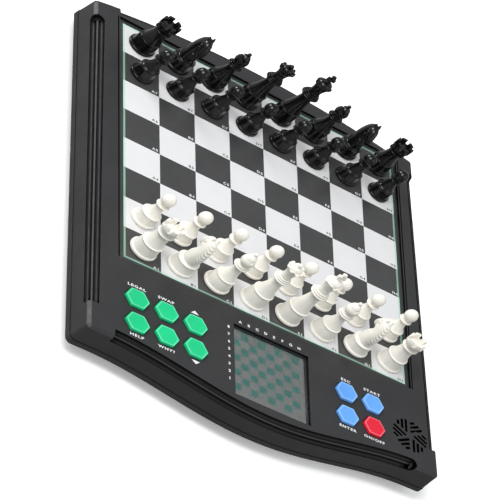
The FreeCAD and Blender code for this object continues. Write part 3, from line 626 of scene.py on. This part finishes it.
def key_labels():
    """White words and arrows printed by the keys, and the letters and numbers round the screen."""
    bm = bmesh.new()
    z = CASE_TOP
    above = {"legal": "LEGAL", "swap": "SWAP", "escape": "ESC", "start": "START"}
    below = {"help": "HELP", "why": "WHY?", "enter": "ENTER", "power": "ON/OFF"}
    for words, shift in ((above, 10.2 * MM), (below, -12.0 * MM)):
        for key, word in words.items():
            centre = mid(key + "_button")
            glyphs(bm, word, centre.x, centre.y + shift, z, 0, "CENTER", 1.3, 1.25, 0.1 * MM)
    for key, side in (("up", 1), ("down", -1)):
        arrow(bm, mid(key + "_button"), side, z)
    for i, letter in enumerate("ABCDEFGH"):
        x = LCD_X + (i - 3.5) * LCD_CELL
        glyphs(bm, letter, x, WINDOW_HI.y + 4.3 * MM, z, 0, "CENTER", 1.1, 1.0, 0.12 * MM)
    for i in range(8):
        y = LCD_ROWS_TOP - (i + 0.5) * LCD_CELL - LETTER / 2
        glyphs(bm, str(8 - i), WINDOW_LO.x - 5.6 * MM, y, z, 0, "CENTER", 1.1, 1.0, 0.12 * MM)
    new_piece("panel_lettering", bm, ["ink_white"], "case")


# ---------------------------------------------------------------- chessmen
def foot(r, bell_r, bell_z):
    """Common foot: flat underside, rolled rim, hollowed bell and a raised ring on top."""
    return [(0, 0), (r - 0.5, 0), (r + 0.05, 0.5, r, 1.3), (r - 0.15, 1.9, r - 0.8, 2.1), (r - 1.0, 2.5),
            (r - 1.5, bell_z * 0.55, bell_r + 0.5, bell_z - 0.6), (bell_r + 0.55, bell_z - 0.4),
            (bell_r + 0.9, bell_z, bell_r + 0.5, bell_z + 0.45), (bell_r - 0.1, bell_z + 0.6)]


def ring_bead(r, z, proud, height):
    """Rounded collar standing out from radius r."""
    shoulder = r + proud * 0.6
    return [(shoulder, z), (r + proud, z + height / 2, shoulder, z + height), (r, z + height + 0.1)]


def ball(r, z, neck):
    """Ball of radius r round height z, standing on a neck."""
    return [(neck, z - math.sqrt(r * r - neck * neck)), (r, z, 0, z + r)]


def pawn():
    steps = foot(8.7, 6.3, 8.6) + [(4.1, 13.0, 3.0, 18.0)] + ring_bead(3.0, 18.1, 1.9, 1.0)
    steps += ball(4.75, 23.85, 2.9)
    bm = bmesh.new()
    turned(bm, profile(steps, 14))
    return bm


def cut_rim(bm, gaps, gap_half, z_floor, inner, step):
    """Presses wedge-shaped gaps down into a raised rim, leaving battlements or points."""
    for v in bm.verts:
        x, y, z = (c / MM for c in v.co)
        r = math.hypot(x, y)
        if z <= z_floor or r < inner:
            continue
        angle = math.degrees(math.atan2(y, x)) % (360 / gaps)
        off = min(angle, 360 / gaps - angle)
        if off < gap_half:
            v.co.z = (z_floor + (z - z_floor) * step(off / gap_half)) * MM


def rook():
    steps = foot(9.7, 7.2, 9.8) + [(5.6, 15.0, 5.0, 20.6)] + ring_bead(5.0, 20.7, 1.5, 1.1)
    steps += [(5.3, 22.2), (5.5, 23.4, 6.6, 24.4), (6.9, 24.8), (7.0, 29.7), (6.8, 30.0), (5.2, 30.0)]
    steps += [(5.0, 29.7), (4.8, 26.2), (0, 26.0)]
    bm = bmesh.new()
    turned(bm, profile(steps, 10), 120)
    cut_rim(bm, 6, 11.5, 26.6, 4.7, lambda t: 0.0 if t < 0.9 else 1.0)
    return bm


def bishop():
    steps = foot(9.7, 6.7, 10.0) + [(4.3, 16.0, 3.4, 22.6)]
    steps += ring_bead(3.4, 22.7, 2.4, 1.0) + ring_bead(3.4, 23.9, 1.5, 0.8)
    steps += [(3.1, 25.6), (5.0, 28.6, 4.1, 31.8), (3.0, 34.0, 1.1, 35.5)] + ball(1.45, 36.45, 0.9)
    bm = bmesh.new()
    turned(bm, profile(steps, 14), 72)
    slope = math.radians(38)
    for v in bm.verts:
        x, z = v.co.x / MM, v.co.z / MM
        if 29.5 < z < 35.0:
            across = (z - 31.0) * math.cos(slope) - x * math.sin(slope)
            if abs(across - 0.2) < 0.55 and x > 0.2:
                v.co.x *= 0.72
                v.co.y *= 0.72
    return bm


def queen():
    steps = foot(9.7, 7.0, 11.4) + [(4.8, 19.0, 4.0, 27.2)]
    steps += ring_bead(4.0, 27.3, 2.4, 1.2) + ring_bead(4.0, 28.7, 1.6, 0.9) + ring_bead(3.8, 29.9, 1.0, 0.7)
    steps += [(3.9, 31.2), (4.0, 36.0, 6.2, 40.2), (6.4, 40.9), (6.0, 41.5)]
    steps += [(5.0, 41.2), (4.4, 40.4), (3.6, 42.2, 1.4, 42.7)] + ball(1.7, 44.2, 1.0)
    bm = bmesh.new()
    turned(bm, profile(steps, 12), 96)
    cut_rim(bm, 8, 15.0, 39.7, 4.3, lambda t: t * t)
    return bm


def king():
    steps = foot(9.7, 7.2, 12.0) + [(5.1, 20.0, 4.3, 29.6)]
    steps += ring_bead(4.3, 29.7, 2.6, 1.3) + ring_bead(4.3, 31.2, 1.8, 1.0) + ring_bead(4.1, 32.5, 1.1, 0.8)
    steps += [(4.2, 33.8), (4.3, 39.0, 6.3, 43.4), (6.5, 44.0), (6.1, 44.6), (5.4, 44.5)]
    steps += [(4.3, 46.3, 1.8, 46.9), (1.2, 47.3), (1.2, 47.8), (0, 47.9)]
    bm = bmesh.new()
    turned(bm, profile(steps, 12), 96)
    cut_rim(bm, 4, 16.0, 42.6, 5.3, lambda t: t * t)
    arm = [(1.15, 47.2), (0.85, 49.5), (2.5, 49.0), (3.05, 49.4), (3.05, 51.4), (2.5, 51.8), (0.95, 51.3),
           (1.5, 53.6), (1.1, 54.3)]
    outline = arm + [(-x, z) for x, z in reversed(arm)]
    middle = 50.6
    made = []
    for y, inset in ((-1.25, 0.75), (-1.1, 0.92), (-0.7, 1.0), (0.7, 1.0), (1.1, 0.92), (1.25, 0.75)):
        upright = 0.6 + 0.4 * inset
        layer = [(x * inset * MM, y * MM, (middle + (z - middle) * upright) * MM) for x, z in outline]
        made.append([bm.verts.new(p) for p in layer])
    bm.faces.new(reversed(made[0]))
    bm.faces.new(made[-1])
    for low, high in zip(made, made[1:]):
        for i in range(len(low)):
            j = (i + 1) % len(low)
            bm.faces.new((low[i], low[j], high[j], high[i]))
    return bm


def spline(keys, t):
    """Smooth value through evenly spaced key tuples, t from 0 to 1."""
    span = t * (len(keys) - 1)
    i = min(int(span), len(keys) - 2)
    u = span - i
    p0, p1, p2, p3 = keys[max(i - 1, 0)], keys[i], keys[i + 1], keys[min(i + 2, len(keys) - 1)]
    values = []
    for a, b, c, d in zip(p0, p1, p2, p3):
        curve = 2 * b + (c - a) * u + (2 * a - 5 * b + 4 * c - d) * u * u + (3 * b - a - 3 * c + d) * u ** 3
        values.append(0.5 * curve)
    return tuple(values)


def tube(bm, keys, rings, segments, ridges=0):
    """Swept oval through keys (y, z, half width, half depth); ridges carve slanting grooves in its back."""
    made = []
    for k in range(rings + 1):
        t = k / rings
        y, z, wide, deep = spline(keys, t)
        y2, z2 = spline(keys, min(t + 0.01, 1.0))[:2]
        y1, z1 = spline(keys, max(t - 0.01, 0.0))[:2]
        run = Vector((y2 - y1, z2 - z1)).normalized()
        ring = []
        for s in range(segments):
            a = 2 * math.pi * s / segments
            side, back = math.cos(a), math.sin(a)
            swell = 1.0
            if ridges and back > -0.2:
                wave = math.cos(2 * math.pi * (ridges * t + 3.2 * back))
                fade = min(1.0, (back + 0.2) * 2.5) * min(1.0, max(0.0, 5 * t - 1.2))
                swell += 0.045 * wave * fade
            off = deep * back * swell
            ring.append((wide * side * swell * MM, (y - run.y * off) * MM, (z + run.x * off) * MM))
        made.append(ring)
    ends = [tuple(sum(p[i] for p in ring) / len(ring) for i in range(3)) for ring in (made[0], made[-1])]
    stack(bm, [[ends[0]]] + made + [[ends[1]]])


# Keys of one ear's tube: y, z, half width and half depth in millimetres.
EAR = [(0.4, 30.4, 1.3, 1.3), (0.2, 32.2, 1.2, 1.2), (-0.2, 33.8, 0.75, 0.75), (-0.5, 34.9, 0.2, 0.2)]


def knight():
    """Horse's head on the common foot, facing +Y, welded into one skin and softened."""
    bm = bmesh.new()
    neck = [(0.2, 8.6, 5.9, 6.5), (-0.8, 13.0, 5.3, 6.3), (-1.9, 18.0, 4.6, 5.8), (-2.2, 23.0, 4.1, 5.3),
            (-0.9, 27.6, 3.7, 4.7), (1.6, 30.8, 2.9, 3.2)]
    tube(bm, neck, 160, 64, 13)
    head = [(-0.6, 28.6, 2.8, 2.8), (2.3, 28.2, 3.6, 4.0), (5.0, 25.8, 3.3, 3.6), (7.2, 23.2, 2.8, 3.0),
            (8.7, 21.2, 2.1, 2.1)]
    tube(bm, head, 40, 28)
    jaw = [(0.4, 24.4, 1.6, 1.4), (2.4, 23.8, 3.5, 3.3), (4.4, 23.2, 2.7, 2.5), (5.8, 22.6, 1.3, 1.1)]
    tube(bm, jaw, 24, 24)
    chest = [(3.0, 10.0, 3.9, 3.4), (3.3, 13.4, 3.7, 3.2), (2.2, 17.4, 2.9, 2.7)]
    tube(bm, chest, 20, 24)
    for side in (-1, 1):
        ear = bmesh.new()
        tube(ear, EAR, 12, 16)
        for v in ear.verts:
            v.co.x += side * (1.45 + (v.co.z / MM - 30.4) * 0.08) * MM
        part = bpy.data.meshes.new("ear")
        ear.to_mesh(part)
        ear.free()
        bm.from_mesh(part)
        bpy.data.meshes.remove(part)
    turned(bm, profile(foot(9.7, 7.3, 8.6) + [(5.8, 10.0), (0, 10.6)], 10), 64)
    mesh = bpy.data.meshes.new("knight")
    bm.to_mesh(mesh)
    bm.free()
    holder = bpy.data.objects.new("knight", mesh)
    bpy.context.scene.collection.objects.link(holder)
    weld = holder.modifiers.new("weld", "REMESH")
    weld.mode = "VOXEL"
    weld.voxel_size = 0.24 * MM
    weld.use_smooth_shade = True
    soften = holder.modifiers.new("soften", "SMOOTH")
    soften.factor = 0.5
    soften.iterations = 2
    bpy.context.view_layer.update()
    finished = holder.evaluated_get(bpy.context.evaluated_depsgraph_get())
    done = bpy.data.meshes.new_from_object(finished)
    bpy.data.objects.remove(holder)
    bm = bmesh.new()
    bm.from_mesh(done)
    for v in bm.verts:
        for side in (-1, 1):
            for y, z, reach, depth in ((2.9, 28.6, 1.0, 0.7), (7.4, 22.6, 0.7, 0.5)):
                centre = Vector((side * 3.0 * MM, y * MM, z * MM))
                away = math.hypot(v.co.y - centre.y, v.co.z - centre.z) / (reach * MM)
                if away < 1 and v.co.x * side > 1.0 * MM:
                    v.co.x -= side * depth * MM * (1 - away * away)
    return bm


def chessmen():
    """All thirty-two men, each on the square where its CAD node stands."""
    makers = {"pawn": pawn, "rook": rook, "knight": knight, "bishop": bishop, "queen": queen, "king": king}
    meshes = {}
    for kind, make in makers.items():
        bm = make()
        bmesh.ops.recalc_face_normals(bm, faces=bm.faces)
        for colour in ("white", "black"):
            mesh = bpy.data.meshes.new(colour + "_" + kind)
            bm.to_mesh(mesh)
            mesh.materials.append(looks["men_" + colour])
            mesh.shade_smooth()
            if kind != "knight":
                mesh.set_sharp_from_angle(angle=math.radians(42))
            meshes[colour, kind] = mesh
        bm.free()
    for node in sorted(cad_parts):
        if node.split("_")[0] not in ("white", "black"):
            continue
        colour, kind, column = node.split("_")
        centre = mid(node)
        obj = bpy.data.objects.new(node + "_man", meshes[colour, kind])
        x = BOARD_X + ("abcdefgh".index(column) - 3.5) * SQUARE
        y = BOARD_Y + (round((centre.y - BOARD_Y) / SQUARE - 0.5) + 0.5) * SQUARE
        facing = Matrix.Rotation(0 if colour == "white" else math.pi, 4, "Z")
        obj.matrix_world = Matrix.Translation((x, y, BOARD_Z + INK + 0.01 * MM)) @ facing
        bpy.context.scene.collection.objects.link(obj)
        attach(obj, node)
        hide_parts(node)


# ---------------------------------------------------------------- build
for node, look in CAD_LOOKS.items():
    dress(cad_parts[node], look)
playing_board()
for key in KEYS:
    key_cap(key)
key_labels()
chessmen()


# ---------------------------------------------------------------- floor, light and camera
def stage_and_light():
    bm = bmesh.new()
    bmesh.ops.create_grid(bm, x_segments=8, y_segments=8, size=6.0)
    mesh = bpy.data.meshes.new("floor")
    bm.to_mesh(mesh)
    bm.free()
    look = Look("floor_paper")
    tone = look.remap(look.noise(0.4, 2.0), 0.0, 1.0)
    paper = look.blend(tone, rgba(0.90, 0.90, 0.90), rgba(0.93, 0.93, 0.93))
    seen = look.principled(Base_Color=paper, Roughness=0.9, Specular_IOR_Level=0.1,
                           Emission_Color=rgba(1.0, 1.0, 1.0), Emission_Strength=0.3)
    bounced = look.add("BsdfDiffuse", {"Color": rgba(0.42, 0.42, 0.42)}).outputs["BSDF"]
    to_camera = look.add("LightPath").outputs["Is Camera Ray"]
    look.surface(look.add("MixShader", {0: to_camera, 1: bounced, 2: seen}).outputs["Shader"])
    mesh.materials.append(look.mat)
    floor = bpy.data.objects.new("floor", mesh)
    bpy.context.scene.collection.objects.link(floor)

    world = bpy.data.worlds.new("studio")
    bpy.context.scene.world = world
    world.use_nodes = True
    sky = world.node_tree.nodes["Background"].inputs
    sky["Color"].default_value = rgba(0.96, 0.98, 1.0)
    sky["Strength"].default_value = 0.48

    lights = (("key_light", (-0.8, -0.3, 1.4), 0.9, 18.5), ("fill_light", (1.1, -0.9, 1.2), 1.4, 5.0),
              ("edge_light", (-1.0, 1.15, 0.85), 0.6, 15.0))
    for name, place_at, size, power in lights:
        light = bpy.data.lights.new(name, "AREA")
        light.size = size
        light.energy = power
        lamp = bpy.data.objects.new(name, light)
        lamp.location = place_at
        lamp.rotation_euler = (-Vector(place_at)).to_track_quat("-Z", "Y").to_euler()
        bpy.context.scene.collection.objects.link(lamp)


LENS = 247.5
SHIFT = (-4.2, -0.294)


def camera():
    """Long lens at the front left. Its axis passes well beside the object, so the film is shifted to it."""
    right = Vector((0.3910, -0.3822, 0.8373))
    down = Vector((0.4504, -0.7139, -0.5362))
    ahead = Vector((0.8026, 0.5868, -0.1070))
    squares_from_corner = Vector((-47.05, -66.30, 55.62))
    lens = bpy.data.cameras.new("camera")
    eye = bpy.data.objects.new("camera", lens)
    turn = Matrix((right.normalized(), (-down).normalized(), (-ahead).normalized())).transposed()
    corner = Vector((BOARD_X - FIELD / 2, BOARD_Y - FIELD / 2, BOARD_Z))
    place_at = corner + squares_from_corner * SQUARE
    eye.matrix_world = Matrix.Translation(place_at) @ turn.to_4x4()
    lens.sensor_width = 36.0
    lens.lens = LENS
    lens.clip_start, lens.clip_end = 0.05, 60.0
    bpy.context.scene.collection.objects.link(eye)
    bpy.context.scene.camera = eye
    for axis, amount in zip(("shift_x", "shift_y"), SHIFT):
        shift_while_here(lens, axis, amount, eye, place_at.x)


def shift_while_here(lens, axis, amount, eye, x):
    """Shifts the film only while the camera stands at its own place, so that other views stay centred."""
    driver = lens.driver_add(axis).driver
    driver.type = "SCRIPTED"
    place_x = driver.variables.new()
    place_x.name = "x"
    place_x.type = "TRANSFORMS"
    place_x.targets[0].id = eye
    place_x.targets[0].transform_type = "LOC_X"
    place_x.targets[0].transform_space = "WORLD_SPACE"
    driver.expression = f"{amount} if abs(x - ({x:.5f})) < 0.001 else 0.0"


stage_and_light()
camera()
bpy.context.scene.view_settings.view_transform = "Standard"
